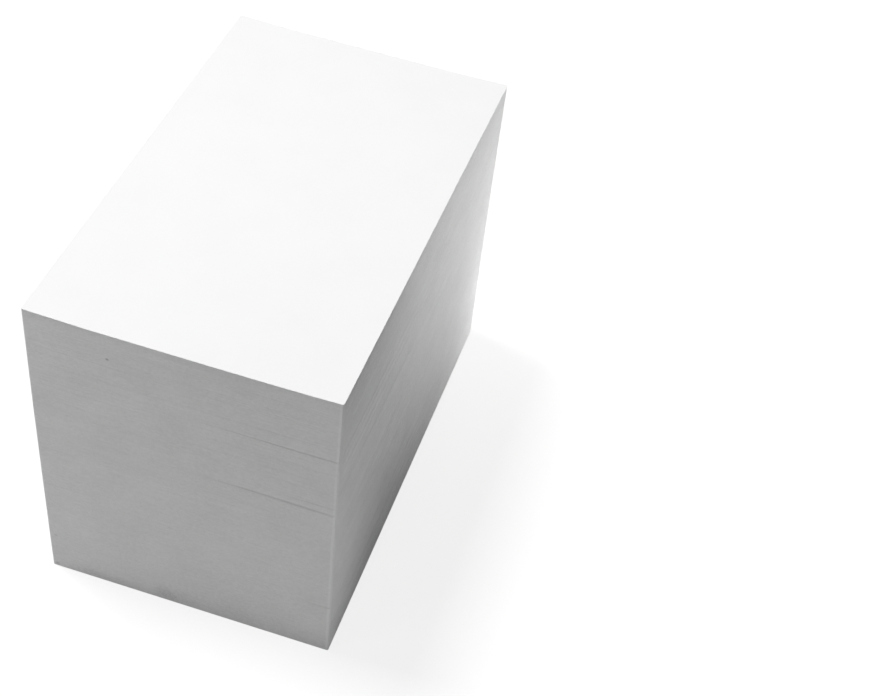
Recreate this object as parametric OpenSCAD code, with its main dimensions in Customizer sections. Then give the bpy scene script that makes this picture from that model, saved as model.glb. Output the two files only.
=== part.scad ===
// A stack of plain white index cards: packs laid one on the next and squared up by hand.
// Every card is a solid of its own, and lies where its own small slip and turn leave it.
// The origin is at the centre of the lowest card's underside. X runs along the cards'
// short edge, with the stack's front at the low end of Y, and Z is up.

/* [Card] */
// Width of a card, along the stack's front
card_w = 76.2; // [50:0.1:160]
// Depth of a card, from the stack's front to its back
card_d = 127; // [70:0.5:230]
// Thickness of a card
card_t = 0.18; // [0.14:0.01:0.3]

/* [Stack] */
// Packs in the stack
packs = 5; // [1:1:5]
// Cards in one pack
pack_cards = 100; // [20:10:110]
// Air between the lowest cards, which the weight above them presses together
air_low = 0.005; // [0.002:0.001:0.02]
// Air between the highest cards, which lie loose
air_high = 0.024; // [0.02:0.001:0.06]
// Further air where one pack lies on the next
seam_air = 0.04; // [0:0.01:0.2]

/* [Lie of the cards] */
// How far the highest card stands to the right of the lowest one
lean_right = 0.9; // [-5:0.1:5]
// How far the highest card stands in front of the lowest one
lean_front = 4; // [-5:0.1:5]
// Turn of the highest card from the lowest one, in degrees, anticlockwise from above
twist = -0.3; // [-3:0.1:3]
// How far the middle of the stack stands to the left of its two ends
bulge_left = 0.16; // [0:0.01:1]
// The most that a pack slips from the lean of the stack, each way
pack_slip = 0.06; // [0:0.01:1]
// The most that a card slips from its pack, each way
card_slip = 0.015; // [0:0.005:0.3]
// The most that a card turns from its pack, each way, in degrees
card_turn = 0.006; // [0:0.002:0.2]

/* [Hidden] */
card_count = packs * pack_cards;
top_index = card_count - 1;

// Cards are counted from 0 at the bottom here, and from 1 in the names of the nodes.
// The cards between the lowest and the highest share nodes, ten to each.
group_cards = 10;
group_count = ceil(card_count / group_cards);

// One draw of chance for each card and each pack, between -1 and 1. The lowest pack
// has no slip, because the others are measured from it.
card_chance_x = rands(-1, 1, card_count, 11);
card_chance_y = rands(-1, 1, card_count, 12);
card_chance_turn = rands(-1, 1, card_count, 13);
pack_chance_x = concat([0], rands(-1, 1, packs, 22));
pack_chance_y = concat([0], rands(-1, 1, packs, 738));

// A group's lowest and highest card, without the stack's own lowest and highest.
function group_first(group) = max(1, group * group_cards);
function group_last(group) = min(top_index - 1, (group + 1) * group_cards - 1);

// A card's number with leading zeros, such as 007, so that names sort from the bottom up.
function padded(number) = str(number < 10 ? "00" : number < 100 ? "0" : "", number);
function group_name(group) =
    str("cards_", padded(group_first(group) + 1), "_", padded(group_last(group) + 1));
group_names = [for (group = [0 : group_count - 1]) group_name(group)];

// A card's pack, and how far up the stack it lies, from 0 to 1.
function pack_of(index) = floor(index / pack_cards);
function share(index) = index / top_index;

// Height of a card's underside. The air between two cards grows with the cube of their
// height in the stack, so what is summed here, all the air below a card, grows with the
// fourth power.
loose_air = (air_high - air_low) * card_count / 4;
function card_z(index) =
    index * (card_t + air_low)
    + loose_air * pow(index / card_count, 4)
    + pack_of(index) * seam_air;

// Where a card's centre lies, and how far the card is turned. The lowest card is square
// on the origin.
function card_x(index) = index == 0 ? 0 :
    lean_right * share(index)
    - bulge_left * sin(180 * share(index))
    + pack_slip * pack_chance_x[pack_of(index)]
    + card_slip * card_chance_x[index];
function card_y(index) = index == 0 ? 0 :
    -lean_front * share(index)
    + pack_slip * pack_chance_y[pack_of(index)]
    + card_slip * card_chance_y[index];
function card_angle(index) = index == 0 ? 0 :
    twist * share(index)
    + card_turn * card_chance_turn[index];

module card(index) {
    translate([card_x(index), card_y(index), card_z(index)])
        rotate([0, 0, card_angle(index)])
            linear_extrude(card_t)
                square([card_w, card_d], center = true);
}

module bottom_card() {
    color("white")
        card(0);
}

module card_group(group) {
    color("white")
        for (index = [group_first(group) : group_last(group)])
            card(index);
}

module top_card() {
    color("white")
        card(top_index);
}

bottom_card();
for (group = [0 : group_count - 1])
    card_group(group);
top_card();
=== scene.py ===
"""Dresses the stack of index cards and lights it.

Every card is built anew on the corners of its solid, as a thin closed slab with worn corners, a
slight dish between its long edges and a rim that the cutter has raised towards the next card.
Where one pack lies on the next, the seam stands open at the front right and closes elsewhere.
Lengths are in metres where nothing else is said.
"""

import math

import bpy
import numpy as np
from mathutils import Matrix, Vector


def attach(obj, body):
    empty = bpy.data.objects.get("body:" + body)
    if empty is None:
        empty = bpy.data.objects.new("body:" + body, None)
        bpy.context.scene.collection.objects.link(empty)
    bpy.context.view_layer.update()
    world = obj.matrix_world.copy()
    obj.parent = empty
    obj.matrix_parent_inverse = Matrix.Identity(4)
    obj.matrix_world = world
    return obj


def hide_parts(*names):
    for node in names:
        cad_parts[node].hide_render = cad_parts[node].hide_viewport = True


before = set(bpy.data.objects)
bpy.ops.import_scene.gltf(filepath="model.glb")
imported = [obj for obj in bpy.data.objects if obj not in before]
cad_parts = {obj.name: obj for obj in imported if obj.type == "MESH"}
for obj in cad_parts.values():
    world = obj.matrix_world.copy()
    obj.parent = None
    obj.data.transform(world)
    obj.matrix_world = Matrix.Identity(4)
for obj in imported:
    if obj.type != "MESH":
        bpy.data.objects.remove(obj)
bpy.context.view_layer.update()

bl_info = {
    "name": "Stack of index cards",
    "version": (1, 0, 0),
    "blender": (4, 5, 0),
    "location": "View3D > Sidebar > Cards",
    "description": "Builds the cards of a stack on their solids, with their finish and a small stage",
    "category": "Object",
}

MM = 0.001
BODY = "root"
TOP_NODE = "top_card"
BOTTOM_NODE = "bottom_card"
CARDS_IN_PACK = 100

# The lines of a card's grid between its corners, from left to right and from front to back,
# as places from -1 to 1. They lie closer where the seams open.
LINES_ACROSS = (-0.6, 0.05, 0.58, 0.82)
LINES_ALONG = (-0.9,)

# Seams from the lowest up: how far from the left edge each begins to open on the front, the
# width over which it opens, and how far it is open at the right end, as a share.
SEAM_START = np.array((69, 68, 34, 30)) * MM
SEAM_RAMP = np.array((2, 26, 26, 26)) * MM
SEAM_OPENING = np.array((1.0, 0.3, 0.95, 1.0))
# The share of that opening that is left at the first line along the card, and at the back.
OPEN_SIDE = 0.15
OPEN_BACK = 0.05
# Cards above a closed seam over which their settling falls off to about a third.
SETTLE_CARDS = 8
# Cards below each open seam that press together, so that their air gathers in the seam, and the
# share of it that does. The highest of these cards hang back by a share of their way down.
SEAM_CARDS = (45, 20, 32, 12)
GATHERED = 0.9
HANGING_CARDS = 2
HANGING_SHARE = 0.35
# One seam parts in two at its right end: this seam, the cards between its two lines, how far
# from the left edge the upper line begins, the width over which it opens, and the share of the
# seam that it takes.
PARTED_SEAM = 2
PARTED_CARDS = 11
PARTED_START = 64 * MM
PARTED_RAMP = 4 * MM
PARTED_SHARE = 0.52
# Among the highest cards, air gathers below these, counted down from the highest, from as many
# cards as LOOSE_CARDS says. Each gap opens by a middle share and a wave about it, whose angle
# grows by these radians from the card's middle to its sides and to its ends, and is shifted by
# LOOSE_SHIFT radians from one gap to the next.
LOOSE_BELOW = (2, 6)
LOOSE_CARDS = 4
LOOSE_SHARE = 0.6
LOOSE_WAVE = 0.4
LOOSE_ANGLES = (5, 7)
LOOSE_SHIFT = 2
# Air that is always left between a raised rim and the next card, and the seed of the chance
# that makes the rims uneven.
RIM_AIR = 0.001 * MM
RIM_SEED = 5

# Share of the texture's width that the walls take on a pack and on a single card, the margin
# round each part of it, and the one above and below a strip of wall, as a share of the strip.
WALL_SHARE_PACK = 0.9
WALL_SHARE_CARD = 0.12
MAP_MARGIN = 0.02
STRIP_MARGIN = 0.1

# Values between which most of a noise lies.
NOISE_SPAN = (0.3, 0.7)
# A face and a cut edge: the darkest tone as a share of the colour, the roughness from the low
# to the high parts of the grain, the shine, and the depth of the grain. The last value says how
# strongly that depth shows.
FACE_DARKEST = 0.98
FACE_ROUGHNESS = (0.8, 0.92)
FACE_SHINE = 0.25
FACE_DEPTH = 0.01 * MM
EDGE_DARKEST = 0.87
EDGE_ROUGHNESS = (0.82, 0.95)
EDGE_SHINE = 0.2
EDGE_DEPTH = 0.02 * MM
GRAIN_STRENGTH = 0.5
# The cut edges are painted paler along the front right corner, a painted highlight: this much, within
# the first of these ways from it, and not at all past the second.
HIGHLIGHT_SHARE = 0.5
HIGHLIGHT_WIDTH = (0.6 * MM, 1.0 * MM)
# What each mark's strength, painted shade too, is multiplied by in the low and in the high parts of
# the grain.
MARK_GRAIN = (1.4, 0.6)
# Marks on the front: centre and half sizes in millimetres, and how strong each is, from 0 to 1. The
# first is a speck of dust, the next three are faint smudges, the fifth and the last are small dark
# spots, and the five between them are painted shade at the foot of the front and its lower right.
MARKS_AND_SHADE = (
    ((-17.2, -67.1, 86.7), (0.7, 1.5, 0.6), 0.8),
    ((-25.3, -66.6, 76.5), (4.0, 3.0, 3.0), 0.04),
    ((-1.5, -66.2, 65.0), (11.0, 4.0, 7.0), 0.07),
    ((-29.7, -64.9, 35.6), (2.0, 3.0, 3.0), 0.06),
    ((-4.3, -64.8, 31.3), (1.2, 2.0, 1.0), 0.12),
    # These five are painted shade that darkens the foot of the front and its lower right.
    ((-6.5, -63.7, 2.5), (4.5, 4.0, 4.0), 0.2),
    ((-3.0, -63.7, 1.5), (12.0, 4.0, 6.0), 0.1),
    ((12.0, -64.0, 3.0), (40.0, 5.0, 22.0), 0.07),
    ((-24.0, -63.6, 0.5), (16.0, 4.0, 5.0), 0.16),
    ((-36.9, -63.6, 0.8), (1.3, 3.0, 1.1), 0.5),
    ((-36.2, -64.0, 13.2), (0.8, 2.0, 0.8), 0.25),
)

# Flat lamps, named as their powers are: where each stands, what it faces, its width and height.
PANEL_LAMPS = {
    "overhead": ((-0.4, 0.0, 1.4), (0.0, 0.0, 50 * MM), (0.3, 0.3)),
    "front_fill": ((-0.2, -0.3, 0.12), (-20 * MM, -60 * MM, 50 * MM), (0.15, 0.15)),
    "corner_fill": ((0.165, -0.195, 0.06), (38.5 * MM, -65 * MM, 50 * MM), (50 * MM, 120 * MM)),
    "back_light": ((95 * MM, 0.1, 50 * MM), (38 * MM, 60 * MM, 40 * MM), (40 * MM, 80 * MM)),
    "low_light": ((75 * MM, 95 * MM, 12 * MM), (38 * MM, 58 * MM, 8 * MM), (30 * MM, 15 * MM)),
}
# Spots: where each stands, what it faces, and the full angle of its cone in degrees. All of
# them have one radius.
SPOT_LAMPS = {
    "front_spot": ((0.35, -0.06, 0.1), (38 * MM, -85 * MM, 50 * MM), 24),
    "side_spot": ((0.42, 0.05, 0.13), (38 * MM, 30 * MM, 0.1), 26),
    "low_spot": ((0.3, -0.14, 20 * MM), (38 * MM, -70 * MM, 4 * MM), 14),
}
SPOT_RADIUS = 25 * MM

# The floor: half its width, its grey as light falls back from it, and the grey of the matt part
# that the camera sees, which holds the shadow. To the camera it also glows, from one strength to
# another as the distance from the stack's middle grows from one value to another. Out of the
# shadow, the matt part and the glow together are white.
FLOOR_HALF = 3.0
FLOOR_GREY = 0.36
FLOOR_SEEN = 0.2
FLOOR_GLOW = (0.83, 1.0)
FLOOR_FADE = (0.08, 0.34)

# The photograph's camera: its place, its heading, tilt and roll in degrees, its lens and the
# width of its sensor in millimetres, and the nearest and furthest that it sees.
CAMERA_PLACE = (111.79 * MM, -313.67 * MM, 363.96 * MM)
CAMERA_HEADING = 12.16
CAMERA_TILT = 45.869
CAMERA_ROLL = 7.427
CAMERA_LENS = 70.13
SENSOR_WIDTH = 36.0
CAMERA_REACH = (0.01, 20.0)


class CardShape(bpy.types.PropertyGroup):
    """Small forms of the cards, on top of what their solids give."""

    corner_radius: bpy.props.FloatProperty(
        name="Corner radius",
        description="Rounding of a card's worn corners",
        default=0.4 * MM,
        min=0.1 * MM,
        max=3 * MM,
        precision=5,
        unit="LENGTH",
    )
    dish: bpy.props.FloatProperty(
        name="Dish",
        description="How far the highest card sags between its long edges",
        default=0.4 * MM,
        min=0.0,
        max=1 * MM,
        precision=5,
        unit="LENGTH",
    )
    loose_depth: bpy.props.FloatProperty(
        name="Loose depth",
        description="Depth below the top of the stack within which cards lie loose",
        default=1.6 * MM,
        min=0.1 * MM,
        max=20 * MM,
        precision=5,
        unit="LENGTH",
    )
    unevenness: bpy.props.FloatProperty(
        name="Unevenness",
        description="How unevenly the raised rims close the air between the cards",
        default=0.3,
        min=0.0,
        max=1.0,
        subtype="FACTOR",
    )


class CardFinish(bpy.types.PropertyGroup):
    """Colours of the card stock."""

    face: bpy.props.FloatVectorProperty(
        name="Face",
        description="Colour of a card's face",
        default=(0.93, 0.93, 0.93),
        min=0.0,
        max=1.0,
        subtype="COLOR",
    )
    cut_edge: bpy.props.FloatVectorProperty(
        name="Cut edge",
        description="Colour of the cut edges, which is a little duller than the faces",
        default=(0.9, 0.9, 0.9),
        min=0.0,
        max=1.0,
        subtype="COLOR",
    )
    # Painted highlight: the colour that the cut edges are painted along the front right corner.
    corner_highlight: bpy.props.FloatVectorProperty(
        name="Worn edge",
        description="Colour of the worn corner, where the cut edges are rubbed pale",
        default=(0.96, 0.96, 0.96),
        min=0.0,
        max=1.0,
        subtype="COLOR",
    )
    # The colour of the smudges and specks, and of the painted shade at the foot of the front.
    dust_and_shade: bpy.props.FloatVectorProperty(
        name="Dust",
        description="Colour of smudges and specks on the cut edges",
        default=(0.42, 0.42, 0.42),
        min=0.0,
        max=1.0,
        subtype="COLOR",
    )


class StageLight(bpy.types.PropertyGroup):
    """Powers of the lamps, and the strength of the sky."""

    overhead: bpy.props.FloatProperty(
        name="Overhead",
        description="Power of the soft lamp above the stack",
        default=19.2,
        min=0.0,
        unit="POWER",
    )
    front_fill: bpy.props.FloatProperty(
        name="Front fill",
        description="Power of the small lamp before the stack, on its left",
        default=0.28,
        min=0.0,
        unit="POWER",
    )
    corner_fill: bpy.props.FloatProperty(
        name="Corner fill",
        description="Power of the small lamp that faces the front right corner",
        default=0.04,
        min=0.0,
        unit="POWER",
    )
    front_spot: bpy.props.FloatProperty(
        name="Front spot",
        description="Power of the spot that reaches the front end of the right side",
        default=0.52,
        min=0.0,
        unit="POWER",
    )
    side_spot: bpy.props.FloatProperty(
        name="Side spot",
        description="Power of the spot that reaches the upper half of the right side",
        default=2.05,
        min=0.0,
        unit="POWER",
    )
    back_light: bpy.props.FloatProperty(
        name="Back light",
        description="Power of the small lamp that stands by the back end of the right side",
        default=0.0248,
        min=0.0,
        precision=4,
        unit="POWER",
    )
    low_light: bpy.props.FloatProperty(
        name="Low light",
        description="Power of the small lamp just above the floor by the back end of the right side",
        default=0.0174,
        min=0.0,
        precision=4,
        unit="POWER",
    )
    low_spot: bpy.props.FloatProperty(
        name="Low spot",
        description="Power of the spot that reaches the foot of the right side's front end",
        default=0.335,
        min=0.0,
        unit="POWER",
    )
    sky: bpy.props.FloatProperty(
        name="Sky",
        description="Strength of the even light from all round",
        default=0.0,
        min=0.0,
        subtype="FACTOR",
    )


def corners_of(node):
    """Corners of a node's cards, as an array of card, underside or top, quarter and coordinate.

    Vertices at one height belong to one side of one card, and the sign of X and of Y says which
    corner each is: 0 is front left, 1 front right, 2 back left and 3 back right.
    """
    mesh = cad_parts[node].data
    points = np.empty(len(mesh.vertices) * 3)
    mesh.vertices.foreach_get("co", points)
    points = points.reshape(-1, 3)
    level = np.unique(np.round(points[:, 2] / MM, 3), return_inverse=True)[1].ravel()
    quarter = (points[:, 0] > 0) + 2 * (points[:, 1] > 0)
    place = level * 4 + quarter
    found = np.stack([np.bincount(place, points[:, axis]) for axis in range(3)], axis=1)
    found /= np.bincount(place)[:, None]
    return found.reshape(-1, 2, 4, 3)


def all_corners():
    """Corners of all the cards, from the lowest up."""
    corners = np.concatenate([corners_of(node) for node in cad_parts])
    return corners[np.argsort(corners[:, 0, 0, 2])]


def smooth_step(value):
    """0 below 0 and 1 above 1, and the curve 3t^2 - 2t^3 between them."""
    t = np.clip(value, 0.0, 1.0)
    return t * t * (3.0 - 2.0 * t)


class CardGrid:
    """The grid of one card: lines across and along it, its outline and its faces."""

    def __init__(self, width, depth, radius):
        round_across, round_along = 2 * radius / width, 2 * radius / depth
        across = (-1.0, -1.0 + round_across, *LINES_ACROSS, 1.0 - round_across, 1.0)
        along = (-1.0, -1.0 + round_along, *LINES_ALONG, 1.0 - round_along, 1.0)
        self.across, self.along = np.array(across), np.array(along)
        self.u, self.v = np.meshgrid(self.across, self.along, indexing="ij")
        self.shape = self.u.shape
        self.rim = (np.abs(self.u) == 1.0) | (np.abs(self.v) == 1.0)
        # A corner lies on the middle of its quarter circle.
        corner = (np.abs(self.u) == 1.0) & (np.abs(self.v) == 1.0)
        inwards = 1.0 - math.sqrt(0.5)
        self.u = np.where(corner, self.u * (1.0 - round_across * inwards), self.u)
        self.v = np.where(corner, self.v * (1.0 - round_along * inwards), self.v)
        self.from_left = (self.u + 1.0) / 2 * width
        # Way along the cut edges from the front right corner: one term is 0 on each of its sides.
        self.from_corner = (1.0 - self.u) / 2 * width + (1.0 + self.v) / 2 * depth
        self.weights = self._corner_weights()
        self.outline = self._outline()
        self.normals = self._outline_normals()
        self.length = self._outline_length(width, depth)

    def _corner_weights(self):
        """Share of each corner in each point: the product of its nearness across and along."""
        left, right = (1.0 - self.u) / 2, (1.0 + self.u) / 2
        front, back = (1.0 - self.v) / 2, (1.0 + self.v) / 2
        return np.stack([left * front, right * front, left * back, right * back], axis=-1)

    def _outline(self):
        """Grid places round the card, anticlockwise from above, from the front left corner."""
        rows, columns = self.shape
        place = np.arange(rows * columns).reshape(self.shape)
        sides = (place[:-1, 0], place[-1, :-1], place[:0:-1, -1], place[0, :0:-1])
        return np.concatenate(sides)

    def _outline_normals(self):
        """Way out of the card at each place of the outline, across and along it.

        It is straight out from a side, and halfway between two of them at a corner.
        """
        u, v = self.u.ravel()[self.outline], self.v.ravel()[self.outline]
        on_side, on_end = np.isclose(np.abs(u), 1.0), np.isclose(np.abs(v), 1.0)
        corner = ~on_side & ~on_end
        way = np.stack([np.sign(u) * (on_side | corner), np.sign(v) * (on_end | corner)], axis=1)
        return way / np.linalg.norm(way, axis=1)[:, None]

    def _outline_length(self, width, depth):
        """Way along the outline at each place, and at its end, as a share of the whole."""
        x = self.u.ravel()[self.outline] * width / 2
        y = self.v.ravel()[self.outline] * depth / 2
        steps = np.hypot(np.roll(x, -1) - x, np.roll(y, -1) - y)
        way = np.concatenate([[0.0], np.cumsum(steps)])
        return way / way[-1]

    def faces(self):
        """Quads of one card: its top, its underside and its wall, numbered within the card."""
        rows, columns = self.shape
        place = np.arange(rows * columns).reshape(self.shape)
        a, b = place[:-1, :-1].ravel(), place[1:, :-1].ravel()
        c, d = place[1:, 1:].ravel(), place[:-1, 1:].ravel()
        underside = np.stack([a, d, c, b], axis=1)
        top = np.stack([a, b, c, d], axis=1) + rows * columns
        here, after = self.outline, np.roll(self.outline, -1)
        wall = np.stack([here, after, after + rows * columns, here + rows * columns], axis=1)
        return top, underside, wall


def seam_openings(grid):
    """How far each seam stands open at each point of the grid, from 0 to 1.

    Across the card it rises on a smooth step from the seam's start. Along the card it falls in
    straight lines from the front to the side line and on to the back.
    """
    start, ramp, most = (each[:, None, None] for each in (SEAM_START, SEAM_RAMP, SEAM_OPENING))
    rise = smooth_step((grid.from_left[None] - start) / ramp)
    fall = np.interp(grid.v, (-1.0, LINES_ALONG[0], 1.0), (1.0, OPEN_SIDE, OPEN_BACK))
    return most * rise * fall[None]


def loose_openings(grid):
    """How far each gap among the highest cards stands open at each point of the grid.

    It is a middle share plus the sine of an angle that grows evenly across and along the card.
    """
    angle = LOOSE_ANGLES[0] * grid.u + LOOSE_ANGLES[1] * grid.v
    shifts = LOOSE_SHIFT * np.arange(len(LOOSE_BELOW))
    return [LOOSE_SHARE + LOOSE_WAVE * np.sin(angle + shift) for shift in shifts]


def way_down(grid, low, high, seams, openings, dish):
    """How far each card comes down at each point, by its dish and over closed seams.

    The dish is deepest halfway between the long edges, as 1 - u^4, and grows with the fourth
    power of the card's number. Over a closed seam, the nth card above the pack's first comes
    down by the seam's further air times e^(-n/s), where s is SETTLE_CARDS.
    """
    number = np.arange(len(low))
    share = (number / number[-1])[:, None, None]
    down = dish * share**4 * (1.0 - grid.u[None] ** 4)
    gap = low[1:] - high[:-1]
    further_air = (gap[seams - 1] - gap[seams]).mean(axis=(1, 2))
    pack, in_pack = number // CARDS_IN_PACK, number % CARDS_IN_PACK
    above = pack > 0
    settled = np.exp(-in_pack[above] / SETTLE_CARDS)[:, None, None]
    seam = pack[above] - 1
    down[above] += (1.0 - openings[seam]) * further_air[seam][:, None, None] * settled
    return down


def gather_air(low, high, above, cards, opening):
    """Sinks the cards below an open gap, so that their air gathers in it.

    Each card comes down by the sum of the gaps between it and the cards that stay, times the
    gap's opening, and the highest of them by less. The card above the gap and all that lie on
    it stay.
    """
    gap = low[above - cards:above] - high[above - cards - 1:above - 1]
    sink = np.cumsum(gap, axis=0) * opening[None] * GATHERED
    sink[-HANGING_CARDS:] *= 1.0 - HANGING_SHARE
    low[above - cards:above] -= sink
    high[above - cards:above] -= sink


def part_seam(grid, low, high, above, opening):
    """Sinks the cards between the two lines of the parted seam, and says how open the upper is.

    The upper line's opening rises on a smooth step from its start, times the seam's own. The
    cards come down by that opening, times a share of the seam's air.
    """
    upper = smooth_step((grid.from_left - PARTED_START) / PARTED_RAMP) * opening
    sink = (low[above] - high[above - 1]) * upper * PARTED_SHARE
    low[above:above + PARTED_CARDS] -= sink[None]
    high[above:above + PARTED_CARDS] -= sink[None]
    return upper


def raise_rims(grid, low, high, depth, shape, opened):
    """Raises the rim of each top towards the next card.

    The share of the gap that it closes rises on a smooth step with the depth below the top of
    the stack. It is multiplied by one less some chance and, at an open gap, by one less the
    gap's opening.
    """
    gap = low[1:] - high[:-1]
    chance = np.random.default_rng(RIM_SEED).random(len(gap))
    closed = smooth_step(depth / shape.loose_depth) * (1.0 - shape.unevenness * chance)
    closed = closed[:, None, None] * np.ones(grid.shape)[None]
    for card, opening in opened:
        closed[card] *= 1.0 - opening
    high[:-1] += np.where(grid.rim[None], closed * np.maximum(gap - RIM_AIR, 0.0), 0.0)


def stack_heights(grid, corners, shape):
    """Heights of every card's underside and top at each point of the grid.

    Its solid gives a card's heights. From there it comes down by its dish and over closed
    seams, air gathers in the open gaps, one seam parts in two, and the rims are raised.
    """
    low = np.einsum("ijq,kq->kij", grid.weights, corners[:, 0, :, 2])
    high = np.einsum("ijq,kq->kij", grid.weights, corners[:, 1, :, 2])
    count = len(corners)
    seams = np.arange(CARDS_IN_PACK, count, CARDS_IN_PACK)
    openings = seam_openings(grid)
    down = way_down(grid, low, high, seams, openings, shape.dish)
    low, high = low - down, high - down

    opened = []
    gaps = list(zip(seams, SEAM_CARDS, openings))
    for below, opening in zip(LOOSE_BELOW, loose_openings(grid)):
        gaps.append((count - 1 - below, LOOSE_CARDS, opening))
    for above, cards, opening in gaps:
        gather_air(low, high, above, cards, opening)
        opened += [(above - 1, opening), (above - 1 - HANGING_CARDS, opening)]
    above = seams[PARTED_SEAM]
    upper = part_seam(grid, low, high, above, openings[PARTED_SEAM])
    opened.append((above + PARTED_CARDS - 1, upper))

    depth = corners[-1, 1, :, 2].mean() - corners[:-1, 1, :, 2].mean(axis=1)
    raise_rims(grid, low, high, depth, shape, opened)
    return low, high


def card_surfaces(grid, corners, low, high):
    """Points of every card: its underside's grid, then its top's, in rows across the card.

    Each is the mean of the card's corners, weighted by their shares in it, at its own height.
    """
    points = np.einsum("ijq,ksqc->ksijc", grid.weights, corners)
    points[:, 0, :, :, 2] = low
    points[:, 1, :, :, 2] = high
    return points.reshape(len(corners), -1, 3)


def face_normals(grid, corners, height):
    """Way up from a card's face at each point: one over, and the height's slopes taken off."""
    width = np.linalg.norm(corners[:, 0, 1] - corners[:, 0, 0], axis=1)[:, None, None]
    depth = np.linalg.norm(corners[:, 0, 2] - corners[:, 0, 0], axis=1)[:, None, None]
    slope_x = np.gradient(height, grid.across, axis=1) * 2 / width
    slope_y = np.gradient(height, grid.along, axis=2) * 2 / depth
    way = np.stack([-slope_x, -slope_y, np.ones_like(height)], axis=-1)
    way /= np.linalg.norm(way, axis=-1)[..., None]
    return way.reshape(len(corners), -1, 3)


def wall_normals(grid, corners):
    """Way out of a card's wall at each place of its outline, turned as the card is."""
    across = corners[:, 0, 1, :2] - corners[:, 0, 0, :2]
    along = corners[:, 0, 2, :2] - corners[:, 0, 0, :2]
    across /= np.linalg.norm(across, axis=1)[:, None]
    along /= np.linalg.norm(along, axis=1)[:, None]
    way = grid.normals[None, :, :1] * across[:, None] + grid.normals[None, :, 1:] * along[:, None]
    return np.concatenate([way, np.zeros((*way.shape[:2], 1))], axis=2)


def card_normals(grid, corners, low, high):
    """Normals at the corners of every face, in the order of the faces."""
    top, underside, _ = grid.faces()
    up = face_normals(grid, corners, high)[:, top % grid.u.size]
    down = -face_normals(grid, corners, low)[:, underside]
    here = wall_normals(grid, corners)
    after = np.roll(here, -1, axis=1)
    sides = np.stack([here, after, after, here], axis=2)
    return np.concatenate([up, down, sides], axis=1).reshape(-1, 3)


def card_map(grid, count, wall_share):
    """Texture places of the corners of every face, in the order of the faces.

    Each card has a row of its own. The wall lies along the left of the row in two strips, one
    for the front and right sides and one for the back and left, and the rest of the row holds
    the top and the underside.
    """
    top, underside, wall = grid.faces()
    points = grid.u.size
    u, v = (grid.u.ravel() + 1) / 2, (grid.v.ravel() + 1) / 2
    inner = 1 - 2 * MAP_MARGIN
    room = (1.0 - wall_share) / 2

    def face_places(faces, column):
        x = wall_share + room * (column + MAP_MARGIN + inner * u[faces % points])
        return np.stack([x, MAP_MARGIN + inner * v[faces % points]], axis=-1)

    steps = np.arange(len(wall))
    strip = (steps >= len(wall) // 2).astype(float)
    start, end = grid.length[:-1] * 2 - strip, grid.length[1:] * 2 - strip
    along = np.stack([start, end, end, start], axis=1)
    x = wall_share * (MAP_MARGIN / 2 + (1 - MAP_MARGIN) * along)
    low, high = (strip + STRIP_MARGIN) / 2, (strip + 1 - STRIP_MARGIN) / 2
    walls = np.stack([x, np.stack([low, low, high, high], axis=1)], axis=-1)
    one = np.concatenate([face_places(top, 0), face_places(underside, 1), walls]).reshape(-1, 2)
    every = np.repeat(one[None], count, axis=0)
    every[:, :, 1] = (every[:, :, 1] + np.arange(count)[:, None]) / count
    return every.reshape(-1, 2)


def card_mesh(name, grid, corners, low, high):
    """Mesh of these cards, each with its faces in the order top, underside and wall."""
    count = len(corners)
    points = card_surfaces(grid, corners, low, high)
    top, underside, wall = grid.faces()
    offset = (np.arange(count) * points.shape[1])[:, None, None]
    faces = np.concatenate([top, underside, wall])[None] + offset
    mesh = bpy.data.meshes.new(name)
    mesh.from_pydata(points.reshape(-1, 3), [], faces.reshape(-1, 4))

    is_wall = np.repeat([0, 1], [len(top) + len(underside), len(wall)])
    mesh.polygons.foreach_set("material_index", np.tile(is_wall, count))
    layer = mesh.uv_layers.new(name="OFBake")
    wall_share = WALL_SHARE_PACK if count > 1 else WALL_SHARE_CARD
    layer.uv.foreach_set("vector", card_map(grid, count, wall_share).ravel())
    layer = mesh.attributes.new("from_corner", "FLOAT", "POINT")
    layer.data.foreach_set("value", np.tile(grid.from_corner.ravel(), 2 * count))
    mesh.normals_split_custom_set(card_normals(grid, corners, low, high))
    mesh.update()
    return mesh


def add_cards(name, nodes, first, last):
    """Makes one piece of the cards from first to last, which stands for the nodes named."""
    scene = bpy.context.scene
    corners = all_corners()
    width = np.linalg.norm(corners[0, 0, 1] - corners[0, 0, 0])
    depth = np.linalg.norm(corners[0, 0, 2] - corners[0, 0, 0])
    grid = CardGrid(width, depth, scene.card_shape.corner_radius)
    low, high = stack_heights(grid, corners, scene.card_shape)
    cards = slice(first, last + 1)
    mesh = card_mesh(name, grid, corners[cards], low[cards], high[cards])
    mesh.materials.append(bpy.data.materials.get("card_face") or card_face())
    mesh.materials.append(bpy.data.materials.get("cut_edge") or cut_edge())

    piece = bpy.data.objects.new(name, mesh)
    scene.collection.objects.link(piece)
    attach(piece, BODY)
    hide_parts(*nodes)


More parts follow.
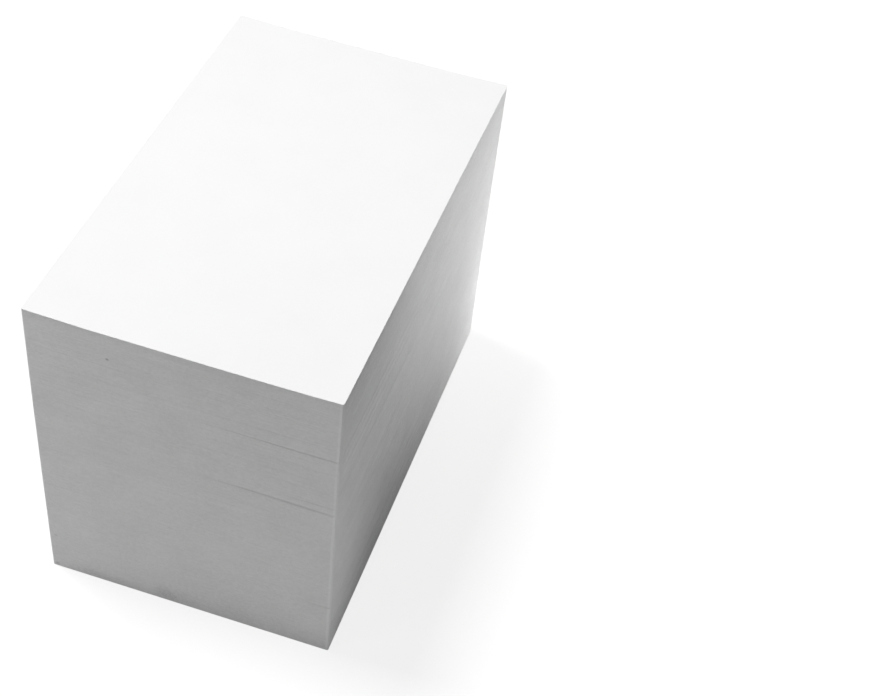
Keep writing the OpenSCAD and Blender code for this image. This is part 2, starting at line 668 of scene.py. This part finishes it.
class Recipe:
    """The nodes of one material or of the world, and short ways to add and join them."""

    def __init__(self, owner):
        owner.use_nodes = True
        self.nodes = owner.node_tree.nodes
        self.links = owner.node_tree.links

    def feed(self, socket, value):
        """Gives a socket a plain value, or joins another node's output to it."""
        if isinstance(value, bpy.types.NodeSocket):
            self.links.new(value, socket)
        else:
            socket.default_value = value

    def add(self, kind, inputs=(), **settings):
        """A new node with these settings, whose inputs are fed by name or by number."""
        node = self.nodes.new(kind)
        for name, setting in settings.items():
            setattr(node, name, setting)
        for name, value in dict(inputs).items():
            self.feed(node.inputs[name], value)
        return node

    def math(self, operation, *values):
        """What one operation makes of the values."""
        node = self.add("ShaderNodeMath", enumerate(values), operation=operation)
        return node.outputs["Value"]

    def sum_of(self, parts):
        """Sum of the values, each times its share."""
        total = 0.0
        for value, share in parts:
            total = self.math("MULTIPLY_ADD", value, share, total)
        return total

    def length(self, place):
        """How far a place lies from the origin."""
        return self.add("ShaderNodeVectorMath", {0: place}, operation="LENGTH").outputs["Value"]

    def between(self, value, start, end, low=0.0, high=1.0):
        """From low to high, on a smooth step, as the value goes from start to end."""
        inputs = {"Value": value, "From Min": start, "From Max": end, "To Min": low, "To Max": high}
        node = self.add("ShaderNodeMapRange", inputs, interpolation_type="SMOOTHSTEP")
        return node.outputs["Result"]

    def mix(self, share, one, other):
        """The first colour where the share is 0, and the other where it is 1."""
        inputs = {"Factor": share, "A": one, "B": other}
        return self.add("ShaderNodeMix", inputs, data_type="RGBA").outputs["Result"]

    def seen(self):
        """1 for what the camera sees, directly, mirrored or through glass, 0 for other light."""
        paths = self.add("ShaderNodeLightPath").outputs
        share = paths["Is Camera Ray"]
        for name in ("Is Glossy Ray", "Is Transmission Ray"):
            share = self.math("MAXIMUM", share, paths[name])
        return share


class Surface(Recipe):
    """A material with one shader, and the patterns that shape its look."""

    def __init__(self, name):
        self.material = bpy.data.materials.new(name)
        super().__init__(self.material)
        self.shader = self.nodes["Principled BSDF"]
        self.place = self.add("ShaderNodeTexCoord").outputs["Object"]

    def give(self, name, value):
        """Feeds the shader's input of this name."""
        self.feed(self.shader.inputs[name], value)

    def noise(self, sizes, detail=2.0, roughness=0.5, shift=0.0):
        """Noise about 0.5 whose features have these sizes along X, Y and Z."""
        scale = [1 / size for size in sizes]
        inputs = {"Vector": self.place, "Scale": scale, "Location": (shift, shift, shift)}
        place = self.add("ShaderNodeMapping", inputs).outputs["Vector"]
        inputs = {"Vector": place, "Scale": 1.0, "Detail": detail, "Roughness": roughness}
        return self.add("ShaderNodeTexNoise", inputs).outputs["Fac"]

    def spot(self, centre, sizes):
        """1 at the centre, falling to 0 on the ellipsoid with these half sizes."""
        inputs = {"Vector": self.place, "Location": centre, "Scale": sizes}
        place = self.add("ShaderNodeMapping", inputs, vector_type="TEXTURE").outputs["Vector"]
        return self.between(self.length(place), 0.0, 1.0, 1.0, 0.0)

    def bump(self, height, depth):
        """Tilts the surface's normals as a height of this depth would."""
        inputs = {"Height": height, "Distance": depth, "Strength": GRAIN_STRENGTH}
        self.give("Normal", self.add("ShaderNodeBump", inputs).outputs["Normal"])


def colour(value, factor=1.0):
    """A colour times a factor, as a node takes it."""
    return (*[channel * factor for channel in value], 1.0)


def grey(level):
    """An even grey, as a node takes it."""
    return (level, level, level, 1.0)


def card_face():
    """Finish of a card's face: matt white stock with a faint felt of fibres and soft clouds."""
    finish = bpy.context.scene.card_finish
    surface = Surface("card_face")
    fibres = surface.noise((0.5 * MM, 0.5 * MM, 0.5 * MM), detail=4.0, roughness=0.6)
    clouds = surface.noise((14 * MM, 14 * MM, 14 * MM), detail=3.0)
    tone = surface.between(surface.sum_of(((fibres, 0.5), (clouds, 0.5))), *NOISE_SPAN)
    paint = surface.mix(tone, colour(finish.face, FACE_DARKEST), colour(finish.face))
    surface.give("Base Color", paint)
    surface.give("Roughness", surface.between(fibres, *NOISE_SPAN, *FACE_ROUGHNESS))
    surface.give("Specular IOR Level", FACE_SHINE)
    surface.bump(fibres, FACE_DEPTH)
    return surface.material


def cut_edge():
    """Finish of the cut edges: streaks along the cards, faint bands, smudges, specks, painted shade,
    a painted highlight.
    """
    finish = bpy.context.scene.card_finish
    surface = Surface("cut_edge")
    streaks = surface.noise((9 * MM, 9 * MM, 0.3 * MM), detail=3.0, roughness=0.6)
    grain = surface.noise((0.9 * MM, 0.9 * MM, 0.7 * MM), detail=3.0, roughness=0.7, shift=2.0)
    bands = surface.noise((60 * MM, 60 * MM, 3 * MM), shift=3.0)
    clouds = surface.noise((10 * MM, 10 * MM, 9 * MM), detail=3.0, shift=7.0)
    tone = surface.sum_of(((streaks, 0.22), (grain, 0.45), (bands, 0.08), (clouds, 0.25)))
    tone = surface.between(tone, *NOISE_SPAN)
    paint = surface.mix(tone, colour(finish.cut_edge, EDGE_DARKEST), colour(finish.cut_edge))

    # Painted highlight: the cut edges are painted paler near the front right corner.
    corner = surface.add("ShaderNodeAttribute", attribute_name="from_corner")
    worn = surface.between(corner.outputs["Fac"], *HIGHLIGHT_WIDTH, HIGHLIGHT_SHARE, 0.0)
    paint = surface.mix(worn, paint, colour(finish.corner_highlight))

    # The spots below are smudges and specks, and painted shade at the foot of the front and its lower
    # right.
    marks_and_shade = []
    for centre, sizes, strength in MARKS_AND_SHADE:
        spot = surface.spot([length * MM for length in centre], [length * MM for length in sizes])
        marks_and_shade.append((spot, strength))
    patches = surface.between(grain, *NOISE_SPAN, *MARK_GRAIN)
    dirt_and_shade = surface.math("MULTIPLY", surface.sum_of(marks_and_shade), patches)
    surface.give("Base Color", surface.mix(dirt_and_shade, paint, colour(finish.dust_and_shade)))
    surface.give("Roughness", surface.between(streaks, *NOISE_SPAN, *EDGE_ROUGHNESS))
    surface.give("Specular IOR Level", EDGE_SHINE)
    surface.bump(streaks, EDGE_DEPTH)
    return surface.material


class CARDS_OT_bottom_card(bpy.types.Operator):
    """Build the lowest card on its solid"""

    bl_idname = "cards.bottom_card"
    bl_label = "Lowest card"

    def execute(self, context):
        add_cards("bottom_card_look", [BOTTOM_NODE], 0, 0)
        return {"FINISHED"}


class CARDS_OT_packs(bpy.types.Operator):
    """Build the packs of cards between the lowest and the highest card"""

    bl_idname = "cards.packs"
    bl_label = "Packs"

    def execute(self, context):
        others = set(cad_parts) - {TOP_NODE, BOTTOM_NODE}
        shared = sorted(others, key=lambda node: corners_of(node)[:, 0, 0, 2].min())
        sizes = [len(corners_of(node)) for node in shared]
        starts = 1 + np.cumsum([0, *sizes[:-1]])
        count = len(all_corners())
        for pack in range(math.ceil(count / CARDS_IN_PACK)):
            first = max(1, pack * CARDS_IN_PACK)
            last = min(count - 2, (pack + 1) * CARDS_IN_PACK - 1)
            nodes = [node for node, start in zip(shared, starts) if first <= start <= last]
            add_cards(f"pack_{pack + 1}", nodes, first, last)
        return {"FINISHED"}


class CARDS_OT_top_card(bpy.types.Operator):
    """Build the highest card on its solid"""

    bl_idname = "cards.top_card"
    bl_label = "Highest card"

    def execute(self, context):
        last = len(all_corners()) - 1
        add_cards("top_card_look", [TOP_NODE], last, last)
        return {"FINISHED"}


def hang_lamp(name, light, place, target, power):
    """Puts a lamp of this power at its place, turned to its target and unseen by the camera."""
    light.energy = power
    lamp = bpy.data.objects.new(name, light)
    lamp.location = place
    lamp.rotation_euler = (Vector(target) - Vector(place)).to_track_quat("-Z", "Y").to_euler()
    lamp.visible_camera = False
    bpy.context.scene.collection.objects.link(lamp)


def add_panel_lamps(powers):
    """The flat lamps."""
    for name, (place, target, size) in PANEL_LAMPS.items():
        light = bpy.data.lights.new(name, "AREA")
        light.shape = "RECTANGLE"
        light.size, light.size_y = size
        hang_lamp(name, light, place, target, getattr(powers, name))


def add_spot_lamps(powers):
    """The spots, which are soft from their middle to their edge."""
    for name, (place, target, angle) in SPOT_LAMPS.items():
        light = bpy.data.lights.new(name, "SPOT")
        light.spot_size = math.radians(angle)
        light.spot_blend = 1.0
        light.shadow_soft_size = SPOT_RADIUS
        hang_lamp(name, light, place, target, getattr(powers, name))


def floor_paint():
    """Paint of the floor: grey for light that falls back from it, and white to the camera.

    What the camera sees is a matt part, which holds the shadow, and a glow that grows with the
    distance from the middle, on a smooth step.
    """
    material = bpy.data.materials.new("floor")
    recipe = Recipe(material)
    recipe.nodes.clear()
    seen = recipe.seen()
    tone = recipe.mix(seen, grey(FLOOR_GREY), grey(FLOOR_SEEN))
    matt = recipe.add("ShaderNodeBsdfDiffuse", {"Color": tone})
    distance = recipe.length(recipe.add("ShaderNodeTexCoord").outputs["Object"])
    glow = recipe.math("MULTIPLY", seen, recipe.between(distance, *FLOOR_FADE, *FLOOR_GLOW))
    white = recipe.add("ShaderNodeEmission", {"Color": grey(1.0), "Strength": glow})
    both = recipe.add("ShaderNodeAddShader", {0: matt.outputs[0], 1: white.outputs[0]})
    recipe.add("ShaderNodeOutputMaterial", {"Surface": both.outputs[0]})
    return material


def add_floor():
    """A wide square floor under the stack."""
    corners = ((-1, -1), (1, -1), (1, 1), (-1, 1))
    points = [(FLOOR_HALF * x, FLOOR_HALF * y, 0.0) for x, y in corners]
    mesh = bpy.data.meshes.new("floor")
    mesh.from_pydata(points, [], [(0, 1, 2, 3)])
    mesh.materials.append(floor_paint())
    floor = bpy.data.objects.new("floor", mesh)
    bpy.context.scene.collection.objects.link(floor)


def set_world(strength):
    """Even grey light from all round, which the camera sees as white."""
    world = bpy.data.worlds.new("studio")
    recipe = Recipe(world)
    recipe.nodes.clear()
    level = recipe.between(recipe.seen(), 0.0, 1.0, strength, 1.0)
    sky = recipe.add("ShaderNodeBackground", {"Color": grey(1.0), "Strength": level})
    recipe.add("ShaderNodeOutputWorld", {"Surface": sky.outputs["Background"]})
    bpy.context.scene.world = world


def set_camera():
    """The camera at the photograph's place, with its heading, tilt and roll."""
    data = bpy.data.cameras.new("camera")
    data.sensor_width = SENSOR_WIDTH
    data.lens = CAMERA_LENS
    data.clip_start, data.clip_end = CAMERA_REACH
    camera = bpy.data.objects.new("camera", data)
    heading = Matrix.Rotation(math.radians(CAMERA_HEADING), 4, "Z")
    tilt = Matrix.Rotation(math.radians(CAMERA_TILT), 4, "X")
    roll = Matrix.Rotation(math.radians(CAMERA_ROLL), 4, "Z")
    camera.matrix_world = Matrix.Translation(CAMERA_PLACE) @ heading @ tilt @ roll
    bpy.context.scene.collection.objects.link(camera)
    bpy.context.scene.camera = camera


class CARDS_OT_stage(bpy.types.Operator):
    """Set up the floor, the lamps, the world and the camera"""

    bl_idname = "cards.stage"
    bl_label = "Stage"

    def execute(self, context):
        powers = context.scene.stage_light
        context.scene.view_settings.view_transform = "Standard"
        add_floor()
        set_world(powers.sky)
        add_panel_lamps(powers)
        add_spot_lamps(powers)
        set_camera()
        return {"FINISHED"}


class CARDS_PT_panel(bpy.types.Panel):
    """Lists the sizes, the colours and the steps"""

    bl_idname = "CARDS_PT_panel"
    bl_label = "Stack of index cards"
    bl_space_type = "VIEW_3D"
    bl_region_type = "UI"
    bl_category = "Cards"

    def draw(self, context):
        scene = context.scene
        for group in (scene.card_shape, scene.card_finish, scene.stage_light):
            box = self.layout.box()
            for name in group.__annotations__:
                box.prop(group, name)
        for step in STEPS:
            self.layout.operator(step.bl_idname)


GROUPS = {"card_shape": CardShape, "card_finish": CardFinish, "stage_light": StageLight}
STEPS = (CARDS_OT_bottom_card, CARDS_OT_packs, CARDS_OT_top_card, CARDS_OT_stage)


def register():
    for made in (*GROUPS.values(), *STEPS, CARDS_PT_panel):
        bpy.utils.register_class(made)
    for name, group in GROUPS.items():
        setattr(bpy.types.Scene, name, bpy.props.PointerProperty(type=group))


def unregister():
    for name in GROUPS:
        delattr(bpy.types.Scene, name)
    for made in (CARDS_PT_panel, *STEPS, *GROUPS.values()):
        bpy.utils.unregister_class(made)


def main():
    register()
    bpy.ops.cards.bottom_card()
    bpy.ops.cards.packs()
    bpy.ops.cards.top_card()
    bpy.ops.cards.stage()


if __name__ == "__main__":
    main()
